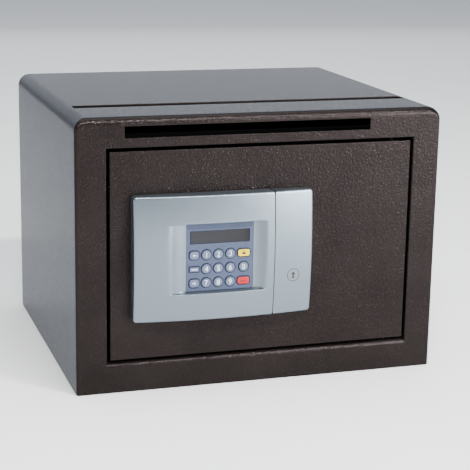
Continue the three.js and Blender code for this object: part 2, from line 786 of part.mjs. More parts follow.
function lockCylinder() {
  const body = turned([
    [lockRadius, -7], [lockRadius, -basePlate - 2 * joinGap - 2], [lockRadius + 2.5, -basePlate - 2 * joinGap - 2],
    [lockRadius + 2.5, -basePlate - 2 * joinGap], [lockRadius, -basePlate - 2 * joinGap], [lockRadius, lockBack],
  ], lockX, lockZ);
  return body.subtract(rodY(plugRadius + plugClearance, lockX, [-8, lockBack + 1], lockZ));
}

function lockPlug() {
  const plug = turned([
    [plugRadius + 1.8, -8.6], [plugRadius + 1.8, -7 - joinGap], [plugRadius, -7 - joinGap],
    [plugRadius, lockBack + joinGap],
  ], lockX, lockZ);
  return plug.subtract(block([lockX - 0.6, lockX + 0.6], [-9, 4], [lockZ - 3.2, lockZ + 3.2]));
}

function lockCam() {
  const depths = [lockBack + 2 * joinGap, lockBack + 2 * joinGap + 2.4];
  const hub = rodY(7, lockX, depths, lockZ);
  return hub.add(slab(roundedOutline(9, camReach + 6, 3, lockX, lockZ - camReach / 2 + 1), depths));
}

function boltPieces() {
  add('bolt_bar', boltBar(), steel);
  add('bolt_lower', rodX(boltRadius, [boltEnd, barX0 - joinGap], boltDepth, boltZ[0]), steel);
  add('bolt_upper', rodX(boltRadius, [boltEnd, barX0 - joinGap], boltDepth, boltZ[1]), steel);
  add('guide_post_left', guidePost(postX[0]), steel);
  add('guide_post_right', guidePost(postX[1]), steel);
  add('gear_motor', gearMotor(), blackPlastic);
  add('motor_pinion', motorPinion(), brass);
  add('lock_cylinder', lockCylinder(), brass);
  add('lock_plug', lockPlug(), zinc);
  add('lock_cam', lockCam(), steel);
}

// ---- Battery compartment ------------------------------------------------------------------
function batteryBox() {
  const outer = block([boxX0, boxX1], [doorBack, boxBack], [boxZ0, boxZ1]);
  const trayFront = batteryDepth - batteryRadius - joinGap;
  const tray = block([hatch.x0, hatch.x1], [trayFront, boxBack + 1], [hatch.z0, hatch.z1]);
  const under = block([hatch.x0, hatch.x1], [doorBack - 1, trayFront - boxWall], [hatch.z0, hatch.z1]);
  return outer.subtract(tray).subtract(under);
}

function battery(index) {
  const x = hatch.x0 + 0.3 + batteryPitch * (index + 0.5);
  const low = (boxZ0 + boxZ1 - batteryLength) / 2;
  const cell = rodZ(batteryRadius, x, batteryDepth, [low, low + batteryLength - 1.4]);
  return cell.add(rodZ(2.6, x, batteryDepth, [low + batteryLength - 2, low + batteryLength]));
}

function batteryCover() {
  const overlap = 4;
  return block([hatch.x0 - overlap, hatch.x1 + overlap], [coverBack + joinGap, coverBack + joinGap + 2],
    [hatch.z0 - overlap, hatch.z1 + overlap]);
}

function batteryPieces() {
  add('battery_box', batteryBox(), blackPlastic);
  for (let index = 0; index < batteryCount; index += 1) {
    add(`battery_${index + 1}`, battery(index), cellWrap);
  }
  add('battery_cover', batteryCover(), blackPlastic);
}

cabinetPieces();
doorPieces();
casingPieces();
boltPieces();
batteryPieces();

export default model;
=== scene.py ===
import json
import math

import bmesh
import bpy
from mathutils import Matrix, Vector


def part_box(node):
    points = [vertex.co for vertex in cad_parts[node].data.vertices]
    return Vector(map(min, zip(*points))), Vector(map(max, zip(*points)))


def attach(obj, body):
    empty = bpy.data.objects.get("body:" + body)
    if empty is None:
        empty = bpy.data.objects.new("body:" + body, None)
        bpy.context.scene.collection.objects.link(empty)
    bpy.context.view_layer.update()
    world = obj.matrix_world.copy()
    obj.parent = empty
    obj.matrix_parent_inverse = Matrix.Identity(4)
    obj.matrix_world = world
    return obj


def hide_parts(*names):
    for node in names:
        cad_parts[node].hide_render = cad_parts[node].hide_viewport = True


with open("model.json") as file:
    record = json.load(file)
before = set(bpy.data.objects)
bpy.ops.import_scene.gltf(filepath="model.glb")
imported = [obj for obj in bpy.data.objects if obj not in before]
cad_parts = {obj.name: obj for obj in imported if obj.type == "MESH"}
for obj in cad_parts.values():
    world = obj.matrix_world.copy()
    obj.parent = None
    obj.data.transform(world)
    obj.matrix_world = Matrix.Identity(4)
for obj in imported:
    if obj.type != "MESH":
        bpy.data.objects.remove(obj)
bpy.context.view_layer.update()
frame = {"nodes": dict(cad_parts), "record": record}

NODES = frame["nodes"]
BODIES = frame["record"]["behaviour"]["bodies"]
BODY_OF = {node: body for body, members in BODIES.items() for node in members}
MM = 0.001


def box(node):
    """Corners of a CAD node in millimetres."""
    lo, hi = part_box(node)
    return lo * 1000, hi * 1000


FRONT = box("front_frame")[0].y  # the cabinet's front face


def at(x, depth, z):
    """Millimetres, with the depth measured rearwards from the cabinet's front face."""
    return Vector((x, FRONT + depth, z)) * MM


# ---- Camera -------------------------------------------------------------------------------
SENSOR, FOCAL = 36, 109.492851  # millimetres


def make_camera():
    azimuth, elevation, roll = -0.3111, 0.2432, 0.0180
    distance = 1.4735
    target = Vector((0.02173, 0.008876, 0.10360))
    back = Vector((math.sin(azimuth) * math.cos(elevation),
                   -math.cos(azimuth) * math.cos(elevation), math.sin(elevation)))
    right = Vector((0, 0, 1)).cross(back).normalized()
    up = back.cross(right)
    turned = math.cos(roll) * right + math.sin(roll) * up
    camera = bpy.data.objects.new("camera", bpy.data.cameras.new("camera"))
    camera.data.sensor_width = SENSOR
    camera.data.lens = FOCAL
    camera.matrix_world = Matrix.Translation(target + back * distance) @ Matrix(
        (turned, back.cross(turned), back)).transposed().to_4x4()
    camera.data.clip_end = 100
    bpy.context.scene.collection.objects.link(camera)
    bpy.context.scene.camera = camera


make_camera()


# ---- Materials ----------------------------------------------------------------------------
def linear(r, g, b):
    """A display colour, 0 to 255, as the linear colour that a shader takes."""
    def one(v):
        v /= 255
        return v / 12.92 if v <= 0.04045 else ((v + 0.055) / 1.055) ** 2.4
    return (one(r), one(g), one(b), 1)


class Finish:
    """A Principled material with helpers for procedural colour, roughness and bump."""

    def __init__(self, name, base, roughness, metallic=0.0, **sockets):
        self.material = bpy.data.materials.new(name)
        self.material.use_nodes = True
        self.tree = self.material.node_tree
        self.shader = self.tree.nodes["Principled BSDF"]
        self.shader.inputs["Base Color"].default_value = base
        self.shader.inputs["Roughness"].default_value = roughness
        self.shader.inputs["Metallic"].default_value = metallic
        for socket, value in sockets.items():
            self.shader.inputs[socket.replace("_", " ")].default_value = value
        self.place = self.tree.nodes.new("ShaderNodeTexCoord").outputs["Object"]
        self.height = None

    def stretched(self, x, y, z):
        node = self.tree.nodes.new("ShaderNodeMapping")
        node.inputs["Scale"].default_value = (x, y, z)
        self.tree.links.new(self.place, node.inputs["Vector"])
        return node.outputs["Vector"]

    def noise(self, scale, detail=2, rough=0.5, distortion=0, place=None):
        node = self.tree.nodes.new("ShaderNodeTexNoise")
        node.inputs["Scale"].default_value = scale
        node.inputs["Detail"].default_value = detail
        node.inputs["Roughness"].default_value = rough
        node.inputs["Distortion"].default_value = distortion
        self.tree.links.new(place or self.place, node.inputs["Vector"])
        return node.outputs["Fac"]

    def cells(self, scale, feature="F1"):
        node = self.tree.nodes.new("ShaderNodeTexVoronoi")
        node.feature = feature
        node.inputs["Scale"].default_value = scale
        self.tree.links.new(self.place, node.inputs["Vector"])
        return node.outputs["Distance"]

    def ramp(self, value, *stops):
        node = self.tree.nodes.new("ShaderNodeValToRGB")
        ramp = node.color_ramp
        while len(ramp.elements) < len(stops):
            ramp.elements.new(0.5)
        for element, (position, colour) in zip(ramp.elements, stops):
            element.position = position
            element.color = colour
        self.tree.links.new(value, node.inputs["Fac"])
        return node.outputs["Color"]

    def mix(self, factor, first, second):
        node = self.tree.nodes.new("ShaderNodeMix")
        node.data_type = "RGBA"
        for index, value in ((0, factor), (6, first), (7, second)):
            if isinstance(value, bpy.types.NodeSocket):
                self.tree.links.new(value, node.inputs[index])
            else:
                node.inputs[index].default_value = value
        return node.outputs[2]

    def span(self, value, low, high, start=0.0, end=1.0):
        node = self.tree.nodes.new("ShaderNodeMapRange")
        for index, number in ((1, start), (2, end), (3, low), (4, high)):
            node.inputs[index].default_value = number
        self.tree.links.new(value, node.inputs[0])
        return node.outputs[0]

    def paint(self, colour):
        self.tree.links.new(colour, self.shader.inputs["Base Color"])
        return self

    def rough(self, value):
        self.tree.links.new(value, self.shader.inputs["Roughness"])
        return self

    def bump(self, value, strength, distance):
        node = self.tree.nodes.new("ShaderNodeBump")
        node.inputs["Strength"].default_value = strength
        node.inputs["Distance"].default_value = distance
        self.tree.links.new(value, node.inputs["Height"])
        if self.height:
            self.tree.links.new(self.height, node.inputs["Normal"])
        self.height = node.outputs["Normal"]
        self.tree.links.new(self.height, self.shader.inputs["Normal"])
        return self


def hammered_paint():
    f = Finish("hammered_paint", linear(24, 19, 18), 0.2, 0.6,
               Specular_IOR_Level=0.2, Specular_Tint=(0.42, 0.45, 0.5, 1))
    worn = f.noise(24, 3, 0.55)
    body = f.ramp(worn, (0.3, linear(27, 22, 21)), (0.7, linear(32, 27, 26)))
    flecks = f.ramp(f.noise(980, 2, 0.6), (0.6, (0, 0, 0, 1)), (0.75, (1, 1, 1, 1)))
    f.paint(f.mix(flecks, body, linear(56, 49, 48)))
    f.rough(f.span(f.noise(420, 2), 0.16, 0.24, 0.3, 0.7))
    f.bump(f.noise(620, 1.5, 0.5, 0.6), 0.75, 0.0005)
    f.bump(f.noise(1500, 2, 0.6), 0.3, 0.0001)
    return f.material


def silver_plastic():
    f = Finish("silver_plastic", linear(144, 154, 162), 0.3, 0.85)
    fine = f.noise(5200, 2, 0.6)
    f.paint(f.ramp(fine, (0.32, linear(100, 110, 117)), (0.68, linear(114, 124, 132))))
    f.rough(f.span(f.noise(60, 3), 0.28, 0.33, 0.3, 0.7))
    f.bump(fine, 0.1, 0.00004)
    return f.material


def soft_plastic(name, colour, roughness=0.45, spread=6, grain=2600, strength=0.12):
    f = Finish(name, linear(*colour), roughness, Specular_IOR_Level=0.2)
    low = linear(*(max(0, c - spread) for c in colour))
    high = linear(*(min(255, c + spread) for c in colour))
    f.paint(f.ramp(f.noise(140, 3, 0.6), (0.3, low), (0.7, high)))
    f.rough(f.span(f.noise(320, 2), roughness - 0.06, roughness + 0.08, 0.3, 0.7))
    f.bump(f.noise(grain, 2), strength, 0.00005)
    return f.material


# Near black, darker than the black plastic: partly the parts' own dark colour, partly painted shade so
# the slot shows as black as its shaded inside.
def matt_black():
    f = Finish("matt_black", linear(9, 9, 10), 0.9, Specular_IOR_Level=0.05)
    f.paint(f.ramp(f.noise(300, 3, 0.6), (0.3, linear(7, 7, 8)), (0.7, linear(12, 12, 13))))
    f.bump(f.noise(900, 2), 0.2, 0.00005)
    return f.material


def bright_steel():
    f = Finish("bright_steel", linear(176, 178, 180), 0.28, 1.0)
    grain = f.noise(900, 3, 0.6, place=f.stretched(0.06, 1, 1))
    f.paint(f.ramp(grain, (0.3, linear(158, 160, 162)), (0.7, linear(188, 190, 192))))
    f.rough(f.span(f.noise(70, 4, 0.6), 0.2, 0.4, 0.3, 0.7))
    f.bump(grain, 0.15, 0.00004)
    return f.material


def zinc_plate():
    f = Finish("zinc_plate", linear(186, 186, 178), 0.38, 1.0)
    patches = f.cells(90)
    tone = f.mix(f.noise(26, 3), linear(168, 170, 164), linear(198, 196, 182))
    f.paint(f.mix(f.span(patches, 0.0, 0.35), tone, linear(150, 152, 148)))
    f.rough(f.span(f.noise(110, 3), 0.3, 0.5, 0.3, 0.7))
    f.bump(f.noise(700, 3), 0.12, 0.00006)
    return f.material


def brass():
    f = Finish("brass", linear(206, 172, 104), 0.28, 1.0)
    f.paint(f.ramp(f.noise(160, 4, 0.6), (0.3, linear(188, 152, 84)), (0.7, linear(216, 184, 118))))
    f.rough(f.span(f.noise(400, 3), 0.2, 0.36, 0.3, 0.7))
    f.bump(f.noise(1600, 2, place=f.stretched(1, 0.1, 1)), 0.12, 0.00004)
    return f.material


def circuit_board():
    f = Finish("circuit_board", linear(30, 100, 66), 0.4)
    lines = f.ramp(f.cells(170, "DISTANCE_TO_EDGE"), (0.04, (1, 1, 1, 1)), (0.07, (0, 0, 0, 1)))
    f.paint(f.mix(lines, linear(28, 92, 62), linear(60, 138, 92)))
    f.bump(lines, 0.2, 0.00005)
    return f.material


def felt():
    f = Finish("felt", linear(60, 63, 66), 0.95)
    f.shader.inputs["Sheen Weight"].default_value = 0.4
    fibre = f.noise(1500, 4, 0.75, 1.2)
    f.paint(f.ramp(fibre, (0.3, linear(46, 49, 52)), (0.7, linear(76, 79, 82))))
    f.bump(fibre, 0.7, 0.0004)
    return f.material


def cell_wrap():
    f = Finish("cell_wrap", linear(44, 104, 144), 0.3, 0.1)
    split = f.tree.nodes.new("ShaderNodeSeparateXYZ")
    f.tree.links.new(f.place, split.inputs[0])
    lo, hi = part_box("battery_1")
    band = f.span(split.outputs["Z"], 0, 1, lo.z, hi.z)
    colour = f.ramp(band, (0.0, linear(44, 104, 144)), (0.7, linear(44, 104, 144)),
                    (0.701, linear(206, 210, 212)), (0.93, linear(206, 210, 212)),
                    (0.931, linear(150, 152, 156)))
    for node in f.tree.nodes:
        if node.type == "VALTORGB":
            node.color_ramp.interpolation = "CONSTANT"
    f.paint(f.mix(f.span(f.noise(300, 3), 0, 0.12, 0.3, 0.7), colour, linear(20, 40, 60)))
    f.bump(f.noise(500, 2), 0.08, 0.00005)
    return f.material


def display_glass():
    f = Finish("display_glass", linear(56, 57, 63), 0.3, Specular_IOR_Level=0.2)
    split = f.tree.nodes.new("ShaderNodeSeparateXYZ")
    f.tree.links.new(f.place, split.inputs[0])
    lo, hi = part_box("display_window")
    along = f.span(split.outputs["X"], 0, 1, lo.x, hi.x)
    # Darker towards the right end, darkest in a thin line at the right edge: painted shade.
    tone = f.ramp(along, (0.0, linear(32, 32, 37)), (0.55, linear(29, 29, 33)),
                  (0.9, linear(26, 25, 28)), (0.985, linear(14, 13, 15)))
    f.paint(f.mix(f.span(f.noise(2400, 2), 0, 0.18, 0.3, 0.7), tone, linear(34, 35, 39)))
    f.bump(f.noise(200, 2), 0.04, 0.00003)
    return f.material


MATERIALS = {
    "hammered_paint": hammered_paint(),
    "silver_plastic": silver_plastic(),
    "keypad_blue": soft_plastic("keypad_blue", (58, 66, 86), 0.5, 3),
    "key_blue": soft_plastic("key_blue", (78, 87, 107), 0.5, 3),
    "key_yellow": soft_plastic("key_yellow", (204, 178, 0), 0.4),
    "key_red": soft_plastic("key_red", (164, 20, 28), 0.4),
    # Dark blue-grey for each key's side and the outer band of its top: painted shade for the shadow in
    # the gap round the key.
    "key_painted_shade": soft_plastic("key_painted_shade", (34, 39, 55), 0.5),
    "key_mark": soft_plastic("key_mark", (196, 200, 208), 0.4, 3),
    "dark_mark": soft_plastic("dark_mark", (50, 44, 42), 0.45, 4),
    "display_glass": display_glass(),
    "bright_steel": bright_steel(),
    "zinc_plate": zinc_plate(),
    "brass": brass(),
    "black_plastic": soft_plastic("black_plastic", (34, 35, 37), 0.5, 5, 1800, 0.25),
    "matt_black": matt_black(),
    "circuit_board": circuit_board(),
    "felt": felt(),
    "cell_wrap": cell_wrap(),
}


# ---- Mesh helpers -------------------------------------------------------------------------
def piece_of(name, bm, slots, body, nodes=()):
    """Turns a bmesh into a piece that rides on a body and stands for CAD nodes."""
    mesh = bpy.data.meshes.new(name)
    for face in bm.faces:
        face.smooth = True
    bm.to_mesh(mesh)
    bm.free()
    for material in slots:
        mesh.materials.append(MATERIALS[material])
    piece = bpy.data.objects.new(name, mesh)
    bpy.context.scene.collection.objects.link(piece)
    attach(piece, body)
    if nodes:
        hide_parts(*nodes)
    return piece


def soften(piece, width, segments=2, angle=35):
    """Rounds the sharp edges and keeps the flats flat."""
    bevel = piece.modifiers.new("edges", "BEVEL")
    bevel.width = width * MM
    bevel.segments = segments
    bevel.limit_method = "ANGLE"
    bevel.angle_limit = math.radians(angle)
    bevel.use_clamp_overlap = False
    bevel.miter_outer = "MITER_ARC"
    flats = piece.modifiers.new("flats", "WEIGHTED_NORMAL")
    flats.keep_sharp = True
    flats.weight = 90
    return piece


def edges_where(bm, test):
    return [e for e in bm.edges if test(e)]


def pull(bm, edges, move):
    """Extrudes edges and moves each new vertex. Returns the new edges."""
    made = bmesh.ops.extrude_edge_only(bm, edges=edges)["geom"]
    for vertex in (g for g in made if isinstance(g, bmesh.types.BMVert)):
        vertex.co = move(vertex.co.copy())
    return [g for g in made if isinstance(g, bmesh.types.BMEdge) and g.is_boundary]


def cut(bm, point, normal):
    geometry = bm.verts[:] + bm.edges[:] + bm.faces[:]
    bmesh.ops.bisect_plane(bm, geom=geometry, plane_co=point, plane_no=normal, dist=1e-7)


# ---- Cabinet shell ------------------------------------------------------------------------
SHEET = 2.0
CORNER = 12.0                    # radius of the top corners, seen from the front
SIDE_FOLD, TOP_FOLD = 2.6, 6.5   # radii of the outer folds
LIP_FOLD, SILL_FOLD = 1.2, 4.5   # round the door opening, and along its foot
LIP_FOLD_STEPS, OUTER_FOLD_STEPS, CORNER_STEPS = 6, 7, 12
DOOR_GAP = 2.8
SLOT_FROM_LEFT, SLOT_FROM_TOP = 45, 8.3
SLOT_WIDTH, SLOT_HEIGHT = 233.6, 10.5
SILL_JOINT = 6                   # height at which the jambs' fold meets the sill's
SLIT = (59.0, 73.0)              # depths of the slit across the top
LIP_BACK = 17.0                  # depth of the lips behind the front face
NEAR = 0.02


def cabinet_shell():
    """The front frame and the body as one folded sheet: a face with its holes, the lips that
    turn in round the door opening, then the outer folds, the sides and the top."""
    _, hi = box("body_wrap")
    half, top = hi.x, hi.z
    rear = hi.y - FRONT
    door_lo, door_hi = box("door_plate")
    ox0, ox1 = door_lo.x - DOOR_GAP, door_hi.x + DOOR_GAP
    oz0, oz1 = door_lo.z - DOOR_GAP, door_hi.z + DOOR_GAP
    sx0 = -half + SLOT_FROM_LEFT
    sx1 = sx0 + SLOT_WIDTH
    sz1 = top - SLOT_FROM_TOP
    sz0 = sz1 - SLOT_HEIGHT
    corner_x, corner_z = half - CORNER, top - CORNER
    rx, rz = CORNER - SIDE_FOLD, CORNER - TOP_FOLD

    bm = bmesh.new()
    outline = [(-half + SIDE_FOLD, 0)]
    for side, start in ((-corner_x, math.pi), (corner_x, math.pi / 2)):
        for step in range(CORNER_STEPS + 1):
            angle = start - step / CORNER_STEPS * math.pi / 2
            outline.append((side + rx * math.cos(angle), corner_z + rz * math.sin(angle)))
    outline.append((half - SIDE_FOLD, 0))
    face = bm.faces.new([bm.verts.new(at(x, 0, z)) for x, z in outline])
    face.normal_update()
    if face.normal.y > 0:
        face.normal_flip()
    f, low = LIP_FOLD, SILL_FOLD
    for x in (ox0 - f, ox1 + f, sx0, sx1):
        cut(bm, at(x, 0, 0), (1, 0, 0))
    for z in (oz0 - low, oz0 + SILL_JOINT, oz1 + f, sz0, sz1, corner_z):
        cut(bm, at(0, 0, z), (0, 0, 1))
    for x in (-corner_x, corner_x):
        cut(bm, at(x, 0, 0), (1, 0, 0))

    def inside(face, x0, x1, z0, z1):
        c = face.calc_center_median() / MM
        return x0 < c.x < x1 and z0 < c.z < z1

    holes = [g for g in bm.faces if inside(g, ox0 - f, ox1 + f, oz0 - low, oz1 + f)
             or inside(g, sx0, sx1, sz0, sz1)]
    bmesh.ops.delete(bm, geom=holes, context="FACES")
    bmesh.ops.dissolve_degenerate(bm, dist=1e-7, edges=bm.edges[:])

    # The return folds round the door opening.
    def near(v, value):
        return abs(v - value) < NEAR

    def on_hole(e):
        mid = (e.verts[0].co / MM + e.verts[1].co / MM) / 2
        return (e.is_boundary and ox0 - f - NEAR <= mid.x <= ox1 + f + NEAR
                and oz0 - low - NEAR <= mid.z <= oz1 + f + NEAR)

    rim = edges_where(bm, on_hole)
    share = 1.0
    for step in range(1, LIP_FOLD_STEPS + 1):
        angle = math.pi / 2 * step / LIP_FOLD_STEPS
        left_over, sunk = 1 - math.sin(angle), 1 - math.cos(angle)

        def move(co, share=share, left_over=left_over, sunk=sunk):
            x, z = co.x / MM, co.z / MM
            depth = (low if z < oz0 + SILL_JOINT / 2 else f) * sunk
            if near(x, ox0 - f * share):
                x = ox0 - f * left_over
            elif near(x, ox1 + f * share):
                x = ox1 + f * left_over
            if near(z, oz0 - low * share):
                z = oz0 - low * left_over
            elif near(z, oz1 + f * share):
                z = oz1 + f * left_over
            return at(x, depth, z)

        rim = pull(bm, rim, move)
        share = left_over

    pull(bm, rim, lambda co: at(co.x / MM, LIP_BACK, co.z / MM))

    # The outer folds, then the sides and the top running back.
    def normal(co):
        x, z = co.x / MM, co.z / MM
        if z <= corner_z + 0.01:
            return Vector((math.copysign(1, x), 0))
        if abs(x) <= corner_x + 0.01:
            return Vector((0, 1))
        n = Vector(((abs(x) - corner_x) / rx, (z - corner_z) / rz)).normalized()
        return Vector((math.copysign(n.x, x), n.y))

    def on_outline(e):
        mid = (e.verts[0].co + e.verts[1].co) / 2 / MM
        out = abs(mid.x) > ox1 + f + 8 or mid.z > sz1 + 0.5
        return e.is_boundary and out and mid.z > 0.01 and near(mid.y, FRONT)

    def key_of(co):
        return round(co.x / MM, 2), round(co.z / MM, 2)

    rim = edges_where(bm, on_outline)
    front_edge = {key_of(v.co): (Vector(key_of(v.co)), normal(v.co)) for e in rim for v in e.verts}
    track = {key: key for key in front_edge}
    for step in range(1, OUTER_FOLD_STEPS + 1):
        angle = math.pi / 2 * step / OUTER_FOLD_STEPS
        new_track = {}

        def move(co):
            start = track[key_of(co)]
            place, n = front_edge[start]
            radius = SIDE_FOLD * n.x ** 2 + TOP_FOLD * n.y ** 2
            x = place.x + n.x * SIDE_FOLD * math.sin(angle)
            z = place.y + n.y * TOP_FOLD * math.sin(angle)
            new = at(x, radius * (1 - math.cos(angle)), z)
            new_track[key_of(new)] = start
            return new

        rim = pull(bm, rim, move)
        track = new_track
    for depth in (*SLIT, rear):
        rim = pull(bm, rim, lambda co, depth=depth: at(co.x / MM, depth, co.z / MM))

    def in_slit(face):
        c = face.calc_center_median() / MM
        return abs(c.x) < corner_x and c.z > top - 0.1 and SLIT[0] < c.y - FRONT < SLIT[1]

    bmesh.ops.delete(bm, geom=[g for g in bm.faces if in_slit(g)], context="FACES")
    bmesh.ops.remove_doubles(bm, verts=bm.verts[:], dist=1e-6)
    bmesh.ops.recalc_face_normals(bm, faces=bm.faces[:])
    # A lone sheet has no inside, so the side plates say which way is out.
    probe = max(bm.faces, key=lambda g: g.calc_center_median().x)
    if probe.normal.x < 0:
        bmesh.ops.reverse_faces(bm, faces=bm.faces[:])
    piece = piece_of("cabinet_shell", bm, ["hammered_paint"], "cabinet",
                     ("front_frame", "body_wrap"))
    thick = piece.modifiers.new("sheet", "SOLIDIFY")
    thick.thickness = SHEET * MM
    thick.offset = -1
    thick.use_even_offset = True
    thick.use_quality_normals = True
    soften(piece, 0.35, 2, 50)


cabinet_shell()


# ---- Pieces kept from the CAD, with rounded edges -----------------------------------------
WELD_ZONE = 11


def refine(node, width, slot, segments=2, angle=35, reach=0, join=True):
    """A copy of a CAD solid with its edges rounded. Its flats are joined first, except where a
    flat with several holes would lose one. A welded panel reaches a little into the sheets it
    meets, at its sides and top."""
    bm = bmesh.new()
    bm.from_mesh(NODES[node].data)
    lo, hi = box(node)
    for v in bm.verts if reach else ():
        for axis, side in ((0, lo.x), (0, hi.x), (2, hi.z)):
            if abs(v.co[axis] / MM - side) < WELD_ZONE:
                v.co[axis] += math.copysign(reach * MM, v.co[axis])
    bmesh.ops.remove_doubles(bm, verts=bm.verts[:], dist=3e-6)
    if join:
        bmesh.ops.dissolve_limit(bm, angle_limit=math.radians(1.5), verts=bm.verts[:], edges=bm.edges[:])
    for g in bm.faces:
        g.material_index = 0
    piece = piece_of(node + "_piece", bm, [slot], BODY_OF[node], (node,))
    return soften(piece, width, segments, angle)


for node, width, reach in (("back_panel", 0.5, 0.32), ("inner_cover", 0.4, 0), ("door_pan", 0.35, 0)):
    refine(node, width, "hammered_paint", reach=reach)
refine("floor_panel", 0.4, "hammered_paint")
refine("door_plate", 0.8, "hammered_paint", 4)
# The chute and baffle seen through the slot take the near-black: partly their own dark colour, partly
# painted shade.
for node, width in (("deposit_chute", 0.3), ("hanging_baffle", 0.25)):
    refine(node, width, "matt_black")
refine("strike_plate", 0.5, "zinc_plate", join=False)
refine("floor_mat", 0.8, "felt")
for part, width in (("hinge_bracket", 0.5), ("hinge_pin", 0.4), ("hinge_knuckle", 0.5)):
    for end in ("lower", "upper"):
        refine(f"{part}_{end}", width, "hammered_paint")
for node, width in (("bolt_lower", 0.8), ("bolt_upper", 0.8), ("guide_post_left", 0.3),
                    ("guide_post_right", 0.3), ("bolt_bar", 0.12)):
    refine(node, width, "bright_steel")
for index in range(1, 5):
    refine(f"cover_screw_{index}", 0.2, "bright_steel", join=False)
    refine(f"battery_{index}", 0.5, "cell_wrap", 3)
for node, width in (("lock_cylinder", 0.3), ("motor_pinion", 0.08)):
    refine(node, width, "brass")
refine("lock_plug", 0.25, "zinc_plate")
refine("lock_cam", 0.4, "bright_steel")
for node, width in (("gear_motor", 0.6), ("battery_box", 0.4), ("battery_cover", 0.5),
                    ("display_module", 0.4)):
    refine(node, width, "black_plastic")
refine("keypad_board", 0.2, "circuit_board")
refine("keypad_plate", 0.16, "keypad_blue")
refine("display_window", 0.25, "display_glass")


# ---- Lock casing --------------------------------------------------------------------------
CASE_LO, _ = box("lock_casing")
_, CASE_HI = box("pull_off_cover")
PULL_X0 = box("pull_off_cover")[0].x
SEAM_X = PULL_X0 - 0.4
CASE_X, CASE_Z = (CASE_LO.x + CASE_HI.x) / 2, (CASE_LO.z + CASE_HI.z) / 2
PLATE_LO, PLATE_HI = (Vector(c) for c in box("keypad_plate"))
PLATE_LO -= Vector((0.3, 0, 0.3))
PLATE_HI += Vector((0.3, 0, 0.3))
PLATE_STAND = FRONT - PLATE_LO.y
JOIN = 0.3
SCOOP_LEFT, SCOOP_RIGHT = 17.5, 11.4
LEDGE = 1.2                      # width of the short walls above and below the hollow
CROWN_CORNER, CROWN_ACROSS, CROWN_UP = 9.5, 6, 3.2
LEFT_RIM, RIGHT_RIM = 1.3, 0.6   # softness of the hollow's rims
SIDE_EDGE, SEAM_EDGE = (3.0, 1.6), (0.9, 0.45)  # run of the corner and radius of the edge
END_RUN, END_EDGE = 3.0, 1.6                    # the same along the top and the bottom


def crown(x, z):
    """Height of the casing's face off the cabinet's front at x, z."""
    across = (x - CASE_X) / (CASE_HI.x - CASE_X)
    up = (z - CASE_Z) / (CASE_HI.z - CASE_Z)
    return CROWN_CORNER + CROWN_ACROSS * (1 - across ** 2) + CROWN_UP * (1 - up ** 2)


RIM = crown(CASE_X, CASE_Z + (PLATE_HI.z - PLATE_LO.z) / 2) + 1


def hollow_floor(x):
    """Height of the hollow for the keypad at x: flat over the plate, curving up beside it."""
    run, over = (SCOOP_LEFT, PLATE_LO.x - x) if x < PLATE_LO.x else (SCOOP_RIGHT, x - PLATE_HI.x)
    if over <= 0:
        return PLATE_STAND
    rise = RIM - PLATE_STAND
    radius = (run ** 2 + rise ** 2) / (2 * rise)
    if over >= radius * 0.98:
        return RIM + 40
    return PLATE_STAND + radius - math.sqrt(radius ** 2 - over ** 2)


def face_height(x, z):
    full = crown(x, z)
    floor = hollow_floor(x)
    k = LEFT_RIM if x < PLATE_LO.x else RIGHT_RIM
    if abs(floor - full) > 6 * k:
        low = min(floor, full)
    else:
        low = -k * math.log(math.exp(-full / k) + math.exp(-floor / k))
    over = max(PLATE_LO.z - z, z - PLATE_HI.z, 0)
    share = (1 - over / LEDGE) ** 3 if over < LEDGE else 0
    return full - max(0, full - low) * share


def lines(low, high, step, keep=()):
    count = max(1, round((high - low) / step))
    values = [low + (high - low) * i / count for i in range(count + 1)]
    values = [v for v in values if all(abs(v - k) > step * 0.45 for k in keep)]
    return sorted(set(values + [k for k in keep if low <= k <= high] + [low, high]))


